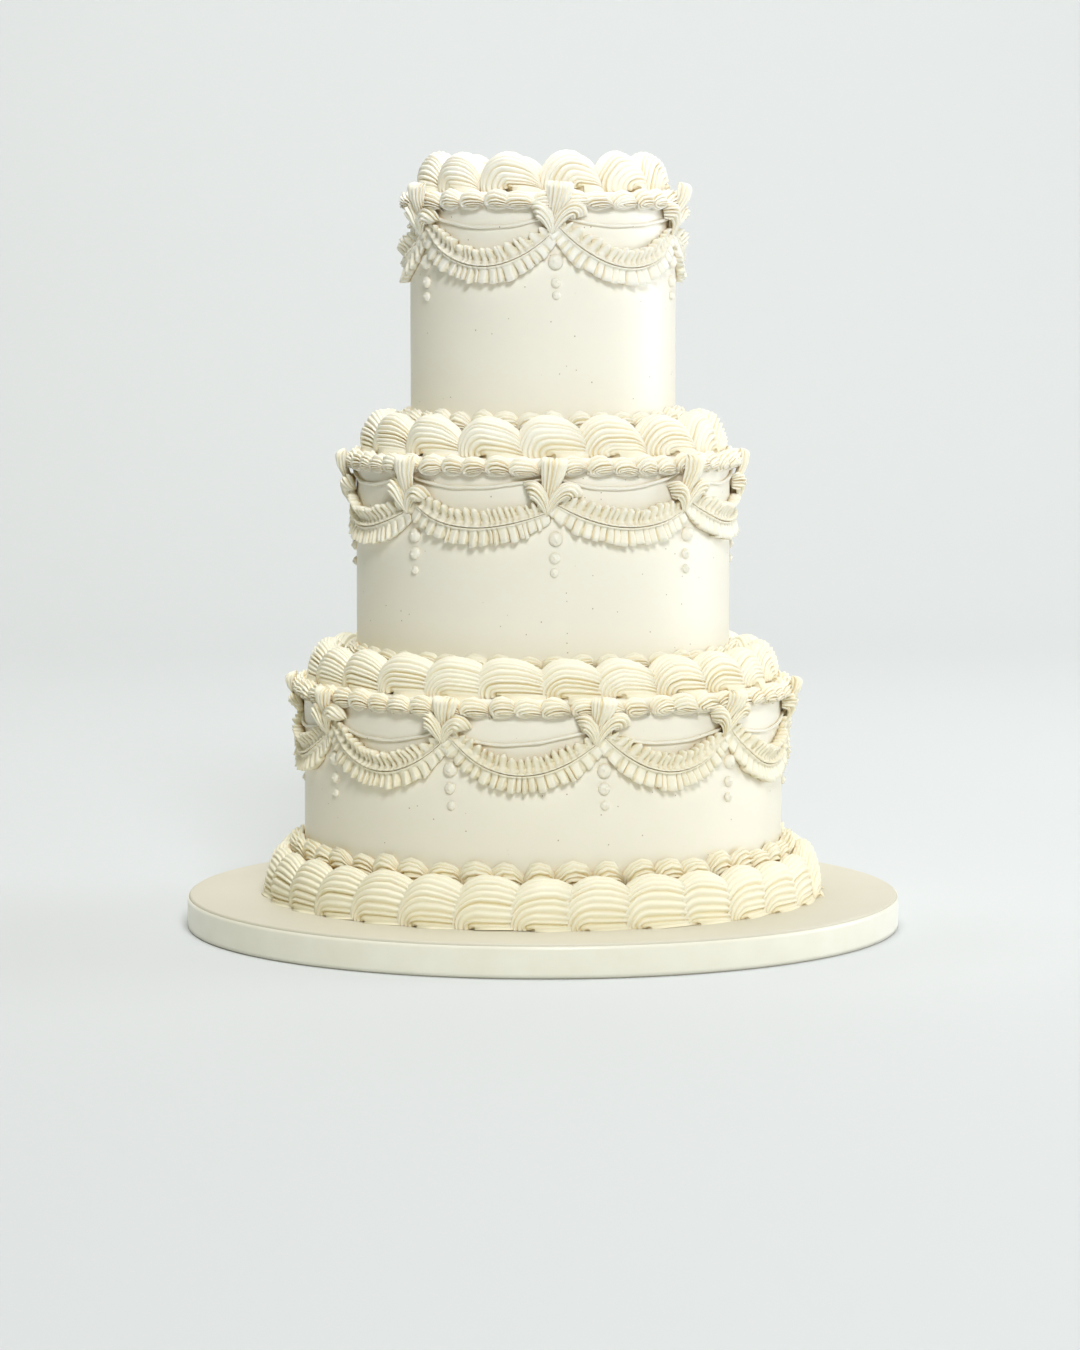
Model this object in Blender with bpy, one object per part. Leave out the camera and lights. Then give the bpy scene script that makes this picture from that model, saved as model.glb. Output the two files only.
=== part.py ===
"""Three-tier wedding cake in piped ivory buttercream, on its ribbon-edged board.

Metres, +Z up. The origin is the centre of the board's underside, and the front of the cake
faces -Y. Angles round the cake are in degrees from the front and grow towards +X.
Heights with the word offset are measured from the top of the tier that carries the piping.
"""
import math
import random

import bmesh
import bpy

MM = 0.001
GAP = 0.3 * MM

# Board and ribbon
BOARD_RADIUS = 177.1 * MM
BOARD_HEIGHT = 16.5 * MM
BOARD_EDGE_ROUND = 1.0 * MM
RIBBON_THICKNESS = 0.4 * MM
RIBBON_FOOT = 0.6 * MM
RIBBON_HEIGHT = 14.6 * MM
BOARD_SIDES = 56

# Tiers: wall radius and height of the iced top above the board's top
TIER_EDGE_ROUND = 2.2 * MM
TIER_SIDES = 48
TIERS = {
    "bottom": {"radius": 119.2 * MM, "top": 107.5 * MM},
    "middle": {"radius": 92.8 * MM, "top": 220.5 * MM},
    "top": {"radius": 65.7 * MM, "top": 347.3 * MM},
}

# Large shells: each border has a count, the angle of one shell's crest, a width across and a height
SHELL_BORDERS = {
    "base": {"count": 31, "crest_angle": -0.3, "width": 20.6 * MM, "height": 25.0 * MM},
    "bottom": {"count": 25, "crest_angle": 4.9, "width": 21.5 * MM, "height": 19.4 * MM},
    "middle": {"count": 17, "crest_angle": 0.0, "width": 22.5 * MM, "height": 21.0 * MM},
    "top": {"count": 12, "crest_angle": 11.2, "width": 25.0 * MM, "height": 20.6 * MM},
}
# Along a shell, from its valley on the left: place in the pitch, share of the height, share of the
# width, and how far the upper part leans back over the tail before it
SHELL_COLUMNS = (
    (0.00, 0.46, 0.80, 0.00),
    (0.11, 0.84, 0.94, 0.07),
    (0.40, 1.00, 1.00, 0.03),
    (0.76, 0.84, 0.94, 0.00),
)
SHELL_CREST_COLUMN = 2
SHELL_SECTION_ANGLES = (40.0, 90.0, 140.0)
# A shell's cross-section bulges past a half circle at the sides, and its shoulders are fuller
SHELL_BULGE = 1.08
SHELL_SHOULDER_POWER = 0.6
SHELL_UNEVENNESS = 0.03
SHELL_SEED = 12

# Small bead shells
BEAD_STAND_OUT = 5.6 * MM
RIM_BEAD_OFFSETS = (-8.0 * MM, 2.0 * MM)
RIM_BEADS = {"bottom": 58, "middle": 49, "top": 33}
# Foot beads: count, and lowest and highest point above what the tier stands on
FOOT_BEADS = {
    "base": {"count": 48, "low": 21.5 * MM, "high": 33.5 * MM},
    "middle": {"count": 44, "low": 11.5 * MM, "high": 20.2 * MM},
    "top": {"count": 35, "low": 12.0 * MM, "high": 23.5 * MM},
}
BEAD_VALLEY_SHARE = 0.62
# Where a bead stands out most, as a share of its height: beads at a foot lean over the large shells
RIM_BEAD_BELLY = 0.5
FOOT_BEAD_BELLY = 0.7

# Fleurs: the angle of each one round its tier
FLEUR_ANGLES = {
    "bottom": (-59.0, -23.0, 12.6, 46.8, 83.5, 120.0, 156.0, 192.0, 228.0, 264.5),
    "middle": (-43.0, 2.0, 46.5, 91.5, 136.5, 181.5, 226.5, 271.5),
    "top": (-60.0, 4.0, 70.5, 127.0, 183.5, 241.0),
}
FLEUR_TIP_OFFSET = -25.5 * MM
FLEUR_HEAD_OFFSET = 1.0 * MM
FLEUR_SIDE_HEAD = (9.2 * MM, -10.6 * MM)
FLEUR_HALF_WIDTH = 4.6 * MM
FLEUR_SIDE_HALF_WIDTH = 4.0 * MM
FLEUR_BACK_OVER_SWAG = 2.5 * MM
FLEUR_BACK_OVER_BEADS = 6.1 * MM
FLEUR_THICKNESS = 5.2 * MM
FLEUR_SIDE_THICKNESS = 6.0 * MM
# Sections of a pulled shell from its tip to its head: sideways as a share of the side head's reach,
# height above the tip, and the shares of its half width and of its thickness
FLEUR_CENTRE_SECTIONS = ((0.00, 14.5 * MM, 0.90, 0.90), (0.00, 23.0 * MM, 1.00, 1.00))
FLEUR_SIDE_SECTIONS = ((0.30, 5.5 * MM, 0.62, 0.70), (0.62, 10.6 * MM, 1.00, 1.00))
# How far the ends of the pulled shells lift off what they lie on
FLEUR_TIP_LIFT = 0.4 * MM
FLEUR_HEAD_LIFT = 1.0 * MM
FLEUR_SIDE_HEAD_LIFT = 1.2 * MM
FLEUR_SIDE_TIP_RISE = 0.3 * MM
# Across a pulled shell: shares of its half width and of its thickness
LOBE_SECTION = ((-1.0, 0.0), (0.0, 1.0), (1.0, 0.0))

# Swags of two ruffles, joined at a crease that hangs between the fleurs
SWAG_END_OFFSET = -18.5 * MM
SWAG_LOW_OFFSETS = {"bottom": -34.3 * MM, "middle": -31.5 * MM, "top": -34.0 * MM}
SWAG_COLUMNS = (0.0, 0.15, 0.32, 0.50, 0.68, 0.85)
SWAG_WIDEST_STEP = 0.18
SWAG_UPPER_RUFFLE = (4.6 * MM, 7.0 * MM)
SWAG_LOWER_RUFFLE = (6.2 * MM, 11.0 * MM)
SWAG_STAND_OUT = (1.9 * MM, 4.6 * MM)
# How far the free edges of the two ruffles stand out, as shares of the crease
SWAG_UPPER_EDGE_OUT = 0.80
SWAG_LOWER_EDGE_OUT = 0.85
# The ruffles have their full length once this many times the droop reaches 1
SWAG_GROWTH = 1.6
# The ends lie flat behind the fleurs up to this share of the droop, then lift over the next share
SWAG_FLAT_DROOP = 0.51
SWAG_LIFT_DROOP = 0.40

# String line above each swag, and the dots under each fleur
STRING_END_OFFSET = -10.6 * MM
STRING_LOW_OFFSET = -14.8 * MM
STRING_THICKNESS = 1.5 * MM
STRING_SEGMENTS = 3
STRING_END_INSET = 0.08
DOT_OFFSETS = {
    "bottom": (-36.0 * MM, -45.0 * MM, -52.5 * MM),
    "middle": (-38.5 * MM, -47.5 * MM, -55.0 * MM),
    "top": (-34.0 * MM, -43.0 * MM, -50.0 * MM),
}
DOT_RADII = (2.8 * MM, 2.6 * MM, 2.3 * MM)
DOT_STAND_OUT = 2.4 * MM
# The dots hang a little to the right of their fleur, in degrees round the tier
DOT_SHIFT = 1.5
DOT_SIDES = 5
# A dot's cone starts as far behind the wall as its peak is before it, so its foot there is wider
DOT_SPREAD = 1.9

# Faces of a fused solid that meet within this angle, in radians, are one face
FLAT_ANGLE = 0.002

# Materials: linear colour and roughness
BUTTERCREAM = ((0.83, 0.77, 0.60), 0.55)
BOARD_COVER = ((0.72, 0.66, 0.50), 0.60)
SATIN = ((0.80, 0.77, 0.66), 0.35)


def material(name, look):
    colour, roughness = look
    made = bpy.data.materials.new(name)
    made.use_nodes = True
    shader = made.node_tree.nodes["Principled BSDF"]
    shader.inputs["Base Color"].default_value = (*colour, 1.0)
    shader.inputs["Roughness"].default_value = roughness
    shader.inputs["Metallic"].default_value = 0.0
    return made


def point(angle, radius, height):
    turn = math.radians(angle)
    return (radius * math.sin(turn), -radius * math.cos(turn), height)


def clear_radius(radius, half_step):
    """A radius whose chords of the given half step, in degrees, still clear a wall."""
    return (radius + GAP) / math.cos(math.radians(half_step))


def object_from(name, vertices, faces, finish):
    mesh = bpy.data.meshes.new(name)
    mesh.from_pydata(vertices, [], faces)
    shape = bmesh.new()
    shape.from_mesh(mesh)
    bmesh.ops.triangulate(shape, faces=shape.faces[:])
    bmesh.ops.recalc_face_normals(shape, faces=shape.faces[:])
    shape.to_mesh(mesh)
    shape.free()
    mesh.materials.append(finish)
    made = bpy.data.objects.new(name, mesh)
    bpy.context.scene.collection.objects.link(made)
    return made


def turned(name, profile, sides, finish):
    """A solid turned about the cake's axis, closed by a flat face at each end of its profile."""
    vertices = []
    for index in range(sides):
        angle = 360.0 * index / sides
        vertices += [point(angle, radius, height) for radius, height in profile]
    rows = len(profile)
    faces = []
    for index in range(sides):
        here = index * rows
        there = (index + 1) % sides * rows
        faces += [(here + row, there + row, there + row + 1, here + row + 1) for row in range(rows - 1)]
    faces.append([index * rows for index in range(sides)])
    faces.append([index * rows + rows - 1 for index in range(sides)])
    return object_from(name, vertices, faces, finish)


def ring(name, columns, finish):
    """A closed band round the cake: each column is one closed cross-section of points."""
    rows = len(columns[0])
    vertices = [point(*place) for column in columns for place in column]
    faces = []
    for index in range(len(columns)):
        here = index * rows
        there = (index + 1) % len(columns) * rows
        for row in range(rows):
            after = (row + 1) % rows
            faces.append((here + row, there + row, there + after, here + after))
    return object_from(name, vertices, faces, finish)


def make_board(finish, satin):
    rounded = BOARD_EDGE_ROUND
    profile = (
        (BOARD_RADIUS, 0.0),
        (BOARD_RADIUS, BOARD_HEIGHT - rounded),
        (BOARD_RADIUS - rounded, BOARD_HEIGHT),
    )
    turned("cake_board", profile, BOARD_SIDES, finish)
    inner = BOARD_RADIUS + GAP
    outer = inner + RIBBON_THICKNESS
    top = RIBBON_FOOT + RIBBON_HEIGHT
    section = ((inner, RIBBON_FOOT), (outer, RIBBON_FOOT), (outer, top), (inner, top))
    columns = []
    for index in range(BOARD_SIDES):
        angle = 360.0 * index / BOARD_SIDES
        columns.append([(angle, radius, height) for radius, height in section])
    ring("board_ribbon", columns, satin)


def string_line(tier, start, end, radius, top, finish):
    """One thin drooping line of icing, half sunk in the tier's wall."""
    half = STRING_THICKNESS / 2.0
    vertices = []
    for index in range(STRING_SEGMENTS + 1):
        along = STRING_END_INSET + (1.0 - 2.0 * STRING_END_INSET) * index / STRING_SEGMENTS
        droop = 4.0 * along * (1.0 - along)
        height = top + STRING_END_OFFSET + (STRING_LOW_OFFSET - STRING_END_OFFSET) * droop
        angle = start + (end - start) * along
        for out, up in ((-half, half), (half, 0.0), (-half, -half)):
            vertices.append(point(angle, radius + out, height + up))
    rows = 3
    faces = [range(rows), [STRING_SEGMENTS * rows + side for side in range(rows)]]
    for index in range(STRING_SEGMENTS):
        for side in range(rows):
            here = index * rows
            after = (side + 1) % rows
            faces.append((here + side, here + rows + side, here + rows + after, here + after))
    return object_from(f"{tier}_string", vertices, faces, finish)


def dot(tier, angle, radius, height, size, finish):
    """One pressed dot with a small peak, its foot sunk in the tier's wall."""
    sunk = radius - DOT_STAND_OUT
    vertices = []
    for index in range(DOT_SIDES):
        turn = 2.0 * math.pi * (index + 0.5) / DOT_SIDES
        sideways = math.degrees(DOT_SPREAD * size * math.cos(turn) / radius)
        vertices.append(point(angle + sideways, sunk, height + DOT_SPREAD * size * math.sin(turn)))
    vertices.append(point(angle, radius + DOT_STAND_OUT, height))
    faces = [list(range(DOT_SIDES))]
    faces += [(index, (index + 1) % DOT_SIDES, DOT_SIDES) for index in range(DOT_SIDES)]
    return object_from(f"{tier}_dot", vertices, faces, finish)


def fuse(body, pieces):
    """Joins the pieces to the body by one Boolean union, and removes them."""
    group = bpy.data.collections.new(f"{body.name}_toppings")
    bpy.context.scene.collection.children.link(group)
    for piece in pieces:
        bpy.context.scene.collection.objects.unlink(piece)
        group.objects.link(piece)
    union = body.modifiers.new("union", "BOOLEAN")
    union.operation = "UNION"
    union.operand_type = "COLLECTION"
    union.collection = group
    union.solver = "MANIFOLD"
    evaluated = body.evaluated_get(bpy.context.evaluated_depsgraph_get())
    joined = bpy.data.meshes.new_from_object(evaluated)
    body.modifiers.clear()
    tidy = bmesh.new()
    tidy.from_mesh(joined)
    bmesh.ops.dissolve_limit(tidy, angle_limit=FLAT_ANGLE, verts=tidy.verts[:], edges=tidy.edges[:])
    bmesh.ops.triangulate(tidy, faces=tidy.faces[:])
    tidy.to_mesh(joined)
    tidy.free()
    joined.name = body.name
    body.data = joined
    for piece in pieces:
        bpy.data.objects.remove(piece)
    bpy.data.collections.remove(group)


def gaps_between(angles):
    """Start and end angle of each swag, from one fleur to the next."""
    following = angles[1:] + (angles[0] + 360.0,)
    return list(zip(angles, following))


def make_tier(tier, foot, finish):
    radius = TIERS[tier]["radius"]
    top = BOARD_HEIGHT + TIERS[tier]["top"]
    rounded = TIER_EDGE_ROUND
    profile = ((radius, foot + GAP), (radius, top - rounded), (radius - rounded, top))
    body = turned(f"tier_{tier}", profile, TIER_SIDES, finish)
    toppings = []
    for start, end in gaps_between(FLEUR_ANGLES[tier]):
        toppings.append(string_line(tier, start, end, radius, top, finish))
    for angle in FLEUR_ANGLES[tier]:
        for offset, size in zip(DOT_OFFSETS[tier], DOT_RADII):
            toppings.append(dot(tier, angle + DOT_SHIFT, radius, top + offset, size, finish))
    fuse(body, toppings)
    return top


def make_shells(name, border, inner, floor, draw, finish):
    """A border of large shells: heads to the left, tails tucked under the next head."""
    pitch = 360.0 / border["count"]
    half_width = border["width"] / 2.0
    middle = inner + half_width
    columns = []
    for index in range(border["count"]):
        size = 1.0 + draw.uniform(-SHELL_UNEVENNESS, SHELL_UNEVENNESS)
        start = border["crest_angle"] + pitch * (index - SHELL_COLUMNS[SHELL_CREST_COLUMN][0])
        for along, tall, wide, lean in SHELL_COLUMNS:
            angle = start + pitch * along
            high = min(tall * size, 1.0) * border["height"]
            column = [(angle, middle + half_width * wide, floor + GAP)]
            for turn in SHELL_SECTION_ANGLES:
                out = SHELL_BULGE * half_width * wide * math.cos(math.radians(turn))
                up = high * math.sin(math.radians(turn)) ** SHELL_SHOULDER_POWER
                back = pitch * lean * math.sin(math.radians(turn))
                column.append((angle - back, middle + out, floor + GAP + up))
            column.append((angle, middle - half_width * wide, floor + GAP))
            columns.append(column)
    return ring(name, columns, finish)


def make_beads(name, count, radius, low, high, belly, finish):
    """A row of small bead shells on a wall."""
    inner = clear_radius(radius, 90.0 / count)
    proudest = low + (high - low) * belly
    columns = []
    for index in range(2 * count):
        share = 1.0 if index % 2 else BEAD_VALLEY_SHARE
        angle = 180.0 * index / count
        outer = inner + BEAD_STAND_OUT * share - GAP
        columns.append([
            (angle, inner, proudest + (low - proudest) * share),
            (angle, outer, proudest),
            (angle, inner, proudest + (high - proudest) * share),
        ])
    return ring(name, columns, finish)


def make_swags(tier, top, finish):
    """The ruffled garland of one tier, its swags joined end to end behind the fleurs."""
    angles = FLEUR_ANGLES[tier]
    radius = TIERS[tier]["radius"]
    widest = max(end - start for start, end in gaps_between(angles))
    inner = clear_radius(radius, widest * SWAG_WIDEST_STEP / 2.0)
    columns = []
    for start, end in gaps_between(angles):
        for along in SWAG_COLUMNS:
            full = 4.0 * along * (1.0 - along)
            grown = min(1.0, SWAG_GROWTH * full)
            lifted = min(1.0, max(0.0, (full - SWAG_FLAT_DROOP) / SWAG_LIFT_DROOP))
            angle = start + (end - start) * along
            crease = top + SWAG_END_OFFSET + (SWAG_LOW_OFFSETS[tier] - SWAG_END_OFFSET) * full
            upper = SWAG_UPPER_RUFFLE[0] + (SWAG_UPPER_RUFFLE[1] - SWAG_UPPER_RUFFLE[0]) * grown
            lower = SWAG_LOWER_RUFFLE[0] + (SWAG_LOWER_RUFFLE[1] - SWAG_LOWER_RUFFLE[0]) * grown
            out = SWAG_STAND_OUT[0] + (SWAG_STAND_OUT[1] - SWAG_STAND_OUT[0]) * lifted
            columns.append([
                (angle, inner, crease - lower),
                (angle, radius + SWAG_LOWER_EDGE_OUT * out, crease - lower),
                (angle, radius + out, crease),
                (angle, radius + SWAG_UPPER_EDGE_OUT * out, crease + upper),
                (angle, inner, crease + upper),
            ])
    return ring(f"{tier}_swags", columns, finish)


def lobe(name, angle, radius, top, path, finish):
    """One pulled shell: sections of (sideways, offset, half width, back, thickness) between two points."""
    first, *sections, last = path
    vertices = []
    for index, (sideways, offset, half_width, back, thickness) in enumerate(sections):
        before = path[index]
        after = path[index + 2]
        run = (after[0] - before[0], after[1] - before[1])
        length = math.hypot(*run)
        across = (run[1] / length, -run[0] / length)
        for share, out in LOBE_SECTION:
            shift = half_width * share
            turn = math.degrees((sideways + across[0] * shift) / radius)
            height = top + offset + across[1] * shift
            vertices.append(point(angle + turn, radius + back + thickness * out, height))
    for sideways, offset, _, back, _ in (first, last):
        vertices.append(point(angle + math.degrees(sideways / radius), radius + back, top + offset))
    rows = len(LOBE_SECTION)
    tip = rows * len(sections)
    faces = []
    for row in range(rows):
        after = (row + 1) % rows
        faces.append((row, after, tip))
        faces.append((tip - rows + row, tip - rows + after, tip + 1))
        for index in range(len(sections) - 1):
            here = index * rows
            faces.append((here + row, here + rows + row, here + rows + after, here + after))
    return object_from(name, vertices, faces, finish)


def lobe_path(tip, sections, hand, half_width, back, thickness, head):
    """The places of one pulled shell from its tip, through its sections, to its head."""
    rise, lift = tip
    path = [(0.0, FLEUR_TIP_OFFSET + rise, 0.0, lift, 0.0)]
    for sideways, above, wide, thick in sections:
        path.append((
            hand * sideways * FLEUR_SIDE_HEAD[0], FLEUR_TIP_OFFSET + above, wide * half_width, back,
            thick * thickness))
    path.append((*head[:2], 0.0, back + head[2], 0.0))
    return path


def make_fleur(name, angle, radius, top, finish):
    """Three pulled shells that meet in one tip: one hangs from the rim, two curl to the sides."""
    tip_back = FLEUR_BACK_OVER_SWAG + FLEUR_TIP_LIFT
    centre = lobe_path(
        (0.0, tip_back), FLEUR_CENTRE_SECTIONS, 1.0, FLEUR_HALF_WIDTH, FLEUR_BACK_OVER_BEADS,
        FLEUR_THICKNESS, (0.0, FLEUR_HEAD_OFFSET, FLEUR_HEAD_LIFT))
    body = lobe(name, angle, radius, top, centre, finish)
    sides = []
    for hand in (-1.0, 1.0):
        reach, head = FLEUR_SIDE_HEAD
        path = lobe_path(
            (FLEUR_SIDE_TIP_RISE, tip_back), FLEUR_SIDE_SECTIONS, hand, FLEUR_SIDE_HALF_WIDTH,
            FLEUR_BACK_OVER_SWAG, FLEUR_SIDE_THICKNESS, (hand * reach, head, FLEUR_SIDE_HEAD_LIFT))
        sides.append(lobe(f"{name}_side", angle, radius, top, path, finish))
    fuse(body, sides)


def build():
    for leftover in list(bpy.data.objects):
        bpy.data.objects.remove(leftover)
    cream = material("buttercream", BUTTERCREAM)
    cover = material("board_cover", BOARD_COVER)
    satin = material("satin_ribbon", SATIN)
    draw = random.Random(SHELL_SEED)

    make_board(cover, satin)
    base = SHELL_BORDERS["base"]
    wall = TIERS["bottom"]["radius"]
    make_shells("base_shells", base, wall + 2.0 * GAP, BOARD_HEIGHT, draw, cream)
    low = BOARD_HEIGHT + FOOT_BEADS["base"]["low"]
    high = BOARD_HEIGHT + FOOT_BEADS["base"]["high"]
    make_beads("base_beads", FOOT_BEADS["base"]["count"], wall, low, high, FOOT_BEAD_BELLY, cream)

    foot = BOARD_HEIGHT
    for tier in ("bottom", "middle", "top"):
        radius = TIERS[tier]["radius"]
        if tier in ("middle", "top"):
            beads = FOOT_BEADS[tier]
            low = foot + beads["low"]
            high = foot + beads["high"]
            make_beads(f"{tier}_foot_beads", beads["count"], radius, low, high, FOOT_BEAD_BELLY, cream)
        top = make_tier(tier, foot, cream)
        border = SHELL_BORDERS[tier]
        inner = radius - 2.0 * GAP - border["width"]
        make_shells(f"{tier}_rim_shells", border, inner, top, draw, cream)
        low = top + RIM_BEAD_OFFSETS[0]
        high = top + RIM_BEAD_OFFSETS[1]
        make_beads(f"{tier}_rim_beads", RIM_BEADS[tier], radius, low, high, RIM_BEAD_BELLY, cream)
        make_swags(tier, top, cream)
        for number, angle in enumerate(FLEUR_ANGLES[tier], start=1):
            make_fleur(f"{tier}_fleur_{number:02d}", angle, radius, top, cream)
        foot = top


build()
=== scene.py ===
"""The wedding cake's looks: piped ivory buttercream on three tiers, and a satin-edged board.

Metres, +Z up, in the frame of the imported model. The front of the cake faces -Y, and angles round
it are in degrees from the front, growing towards +X. Lengths written times MM are millimetres.
"""
import math

import bmesh
import bpy
import numpy as np
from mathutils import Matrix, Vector


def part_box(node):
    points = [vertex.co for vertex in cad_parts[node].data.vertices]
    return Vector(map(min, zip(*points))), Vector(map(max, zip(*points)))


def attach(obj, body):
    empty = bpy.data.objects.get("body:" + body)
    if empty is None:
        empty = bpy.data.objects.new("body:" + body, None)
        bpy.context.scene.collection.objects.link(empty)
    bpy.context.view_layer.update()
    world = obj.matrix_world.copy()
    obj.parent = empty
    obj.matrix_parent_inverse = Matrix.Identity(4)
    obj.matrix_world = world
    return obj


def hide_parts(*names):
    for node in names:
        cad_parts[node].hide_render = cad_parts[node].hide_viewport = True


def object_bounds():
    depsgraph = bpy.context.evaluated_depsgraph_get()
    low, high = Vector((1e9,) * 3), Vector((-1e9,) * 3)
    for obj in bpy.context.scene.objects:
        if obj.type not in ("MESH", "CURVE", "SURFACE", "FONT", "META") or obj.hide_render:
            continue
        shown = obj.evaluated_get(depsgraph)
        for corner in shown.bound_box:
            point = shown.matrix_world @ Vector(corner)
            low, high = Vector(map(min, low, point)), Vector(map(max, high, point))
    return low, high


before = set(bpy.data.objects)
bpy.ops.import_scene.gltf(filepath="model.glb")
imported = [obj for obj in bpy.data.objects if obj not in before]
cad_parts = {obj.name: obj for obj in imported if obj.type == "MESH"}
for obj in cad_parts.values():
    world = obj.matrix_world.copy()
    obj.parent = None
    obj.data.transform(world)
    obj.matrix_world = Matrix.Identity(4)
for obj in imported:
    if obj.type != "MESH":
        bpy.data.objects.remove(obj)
CAD_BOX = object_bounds()

MM = 0.001

# Camera, fitted to the board's rim and the piped lines of the photograph; the pitch is in degrees
CAMERA_DISTANCE = 2.2
CAMERA_SIDEWAYS = -1.5 * MM
CAMERA_ABOVE_BOARD = 317.6 * MM
CAMERA_PITCH = 5.44
FOCAL_PIXELS = 4423.0
PICTURE_HEIGHT = 1350.0
SENSOR = 36.0

# Lights: name, place, what it points at, width, watts and tint
LIGHTS = (
    ("key", (2.1, 0.5, 0.5), (0.0, 0.0, 0.2), 1.4, 27.0, (0.98, 1.0, 1.06)),
    ("front", (0.45, -2.7, 1.9), (0.0, 0.0, 0.2), 0.8, 58.5, (0.98, 1.0, 1.05)),
    ("backdrop", (-0.2, 0.4, 3.2), (0.8, 2.4, 0.9), 2.0, 92.0, (1.0, 1.0, 1.0)),
)
ROOM_TINT = (1.0, 0.95, 0.50, 1.0)
ROOM_STRENGTH = 0.17

# The paper sweep: half its width, where it starts and where it bends up, its bend and its top
SWEEP_HALF_WIDTH = 5.0
SWEEP_START = -3.0
SWEEP_BEND_START = 1.5
SWEEP_BEND = 1.2
SWEEP_TOP = 4.0

# Levels read from the frame
BOARD_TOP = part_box("cake_board")[1].z
TIER_TOP = {tier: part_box(f"tier_{tier}")[1].z for tier in ("bottom", "middle", "top")}
TIER_FOOT = {"bottom": BOARD_TOP, "middle": TIER_TOP["bottom"], "top": TIER_TOP["middle"]}
BOARD_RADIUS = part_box("cake_board")[1].x
RIBBON_LOW, RIBBON_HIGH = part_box("board_ribbon")

# Walls: radius, rounded upper edge, sides of the skin, and how far a wall strays from round
WALL_RADIUS = {"bottom": 119.2 * MM, "middle": 92.8 * MM, "top": 65.7 * MM}
TIER_EDGE = 2.2 * MM
BOARD_EDGE = 1.4 * MM
TIER_SIDES = 144
BOARD_SIDES = 256
WALL_WOBBLE = 0.0006
RIBBON_BULGE = 0.12 * MM

# Large shells round each level: count, the angle of one crest, width across, how far head and tail
# reach from the crest in pitches, how far the foot runs down a tier's rounded edge, and the pole that
# the ridges nest round: its place along in pitches, its share of the height, how slowly arcs widen
SHELL_BORDERS = {
    "base": {"count": 31, "crest_angle": -0.3, "width": 20.6 * MM, "head": 0.73, "tail": 1.00,
             "foot": 0.0, "pole": (-0.15, 0.04, 0.55)},
    "bottom": {"count": 25, "crest_angle": 4.9, "width": 21.5 * MM, "head": 0.56, "tail": 0.90,
               "foot": TIER_EDGE, "pole": (0.05, 0.08, 0.70)},
    "middle": {"count": 17, "crest_angle": 0.0, "width": 22.5 * MM, "head": 0.50, "tail": 0.78,
               "foot": TIER_EDGE, "pole": (0.16, 0.10, 0.75)},
    "top": {"count": 12, "crest_angle": 11.2, "width": 25.0 * MM, "head": 0.52, "tail": 0.62,
            "foot": TIER_EDGE, "pole": (0.20, 0.12, 0.80)},
}
SHELL_KINDS = 5
# A shell is a little wider than its border
SHELL_OVERLAP = 1.02
# The teeth at a shell's foot: how far they stand out, and their pitch
FOOT_COMB = 1.8 * MM
FOOT_COMB_PITCH = 3.0 * MM

# Ridges of a shell and of a bead: count, depth, and how far they crowd towards the pole at the front,
# where 1 spreads them evenly
SHELL_RIDGES = (17, 1.3 * MM, 1.2)
BEAD_RIDGES = (8, 1.5 * MM, 1.55)
# Where a ridge's points lie across it, as shares of its width
RIDGE_STOPS = (0.0, 0.13, 0.32, 0.5, 0.68, 0.87)
# How much a crest's ridges fade: nearly smooth on the large shells, crisp on the beads
SHELL_SMOOTHING = 0.85
BEAD_SMOOTHING = 0.25
# Rows of points from the pole up to the crest, and from there down to the tail
SHELL_DETAIL = (12, 6)
BEAD_DETAIL = (6, 3)
# How uneven a row is in size and turn, how far its shells wander, and the ripples in its surface
SHELL_ROW = {"unevenness": 0.06, "wander": 0.05, "ripple": 1.4 * MM, "ripple_scale": 75.0}
BEAD_ROW = {"unevenness": 0.14, "wander": 0.1, "ripple_scale": 180.0}

# Beads: count, head and tail in pitches, pole, width across, how far a hook reaches below the pole,
# how far the row is sunk into the wall, the lean in degrees, and the turn from one seed to the next
RIM_BEADS = {"bottom": 58, "middle": 49, "top": 33}
FOOT_BEADS = {"base": 48, "middle": 44, "top": 35}
BEAD_REACH = (0.50, 0.72)
BEAD_POLE = (0.22, 0.30, 0.40)
BEAD_WIDTH = 11.4 * MM
BEAD_HOOK = 0.45
BEAD_SUNK = 0.8 * MM
BEAD_TILT = 24.0
BEAD_SHIFT = 0.1
# Rows of beads: their height and their level as shares of their ring's height, and their ripple
BASE_BEAD_FORM = (1.30, -0.36, 2.2 * MM)
FOOT_BEAD_FORM = (0.92, 0.02, 1.6 * MM)
RIM_BEAD_FORM = (0.96, 0.07, 1.8 * MM)

FLEUR_ANGLES = {
    "bottom": (-59.0, -23.0, 12.6, 46.8, 83.5, 120.0, 156.0, 192.0, 228.0, 264.5),
    "middle": (-43.0, 2.0, 46.5, 91.5, 136.5, 181.5, 226.5, 271.5),
    "top": (-60.0, 4.0, 70.5, 127.0, 183.5, 241.0),
}
# Heights from a tier's top, in millimetres: a fleur's crown and tip, a swag's low point, the ends and
# the low point of a string, and the dots
FLEUR_ENDS = {"bottom": (1.4, -22.8), "middle": (0.8, -27.5), "top": (5.0, -21.5)}
SWAG_LOW = {"bottom": -36.5, "middle": -34.0, "top": -35.5}
STRING_LEVELS = {"bottom": (-14.5, -21.5), "middle": (-8.0, -14.6), "top": (-10.5, -17.0)}
DOT_OFFSETS = {
    "bottom": (-34.0, -43.0, -51.0),
    "middle": (-38.0, -47.0, -54.5),
    "top": (-34.0, -43.0, -50.0),
}

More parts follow.
